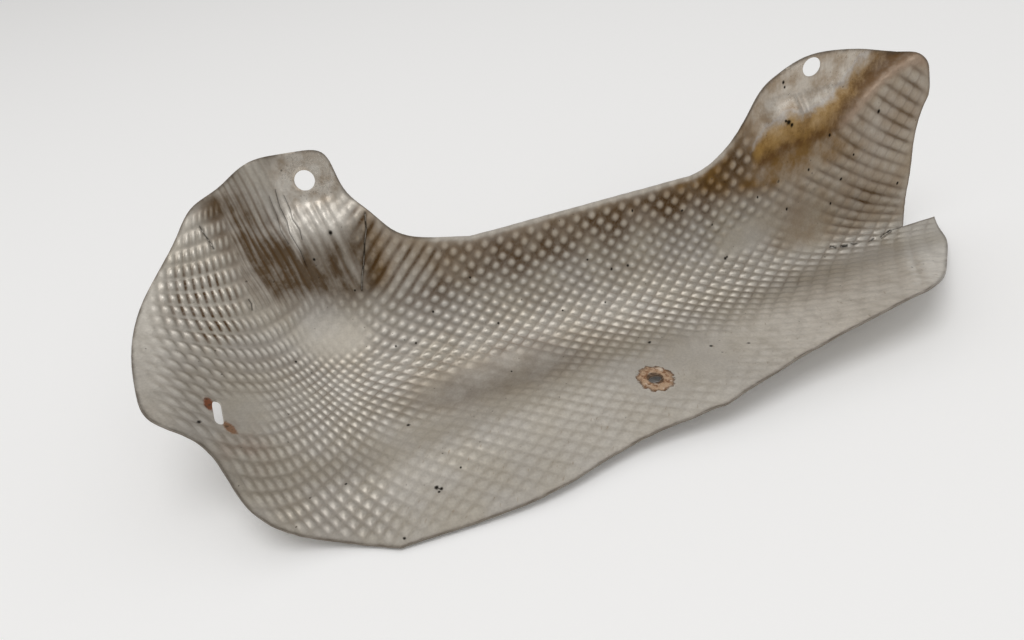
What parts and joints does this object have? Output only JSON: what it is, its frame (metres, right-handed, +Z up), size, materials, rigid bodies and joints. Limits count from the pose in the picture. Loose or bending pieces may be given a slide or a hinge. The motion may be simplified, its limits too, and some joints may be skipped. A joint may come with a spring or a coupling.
{
  "type": "exhaust heat shield",
  "caption": "Dimpled aluminium exhaust heat shield: an open trough with a tall back wall, bolt ears, a rising front flange and one closed, flared end. Heat-stained and worn.",
  "frame": {"origin": "bottom centre of the bounding box of the shield as it lies, hollow side up", "axes": "+X along the trough towards its open end, +Y towards the tall back wall, +Z up"},
  "size_m": [0.412, 0.154, 0.114],
  "materials": {
    "sheet": "worn, dimpled and heat-stained"
  },
  "bodies": {
    "root": {"heat_shield": "sheet"}
  },
  "joints": []
}
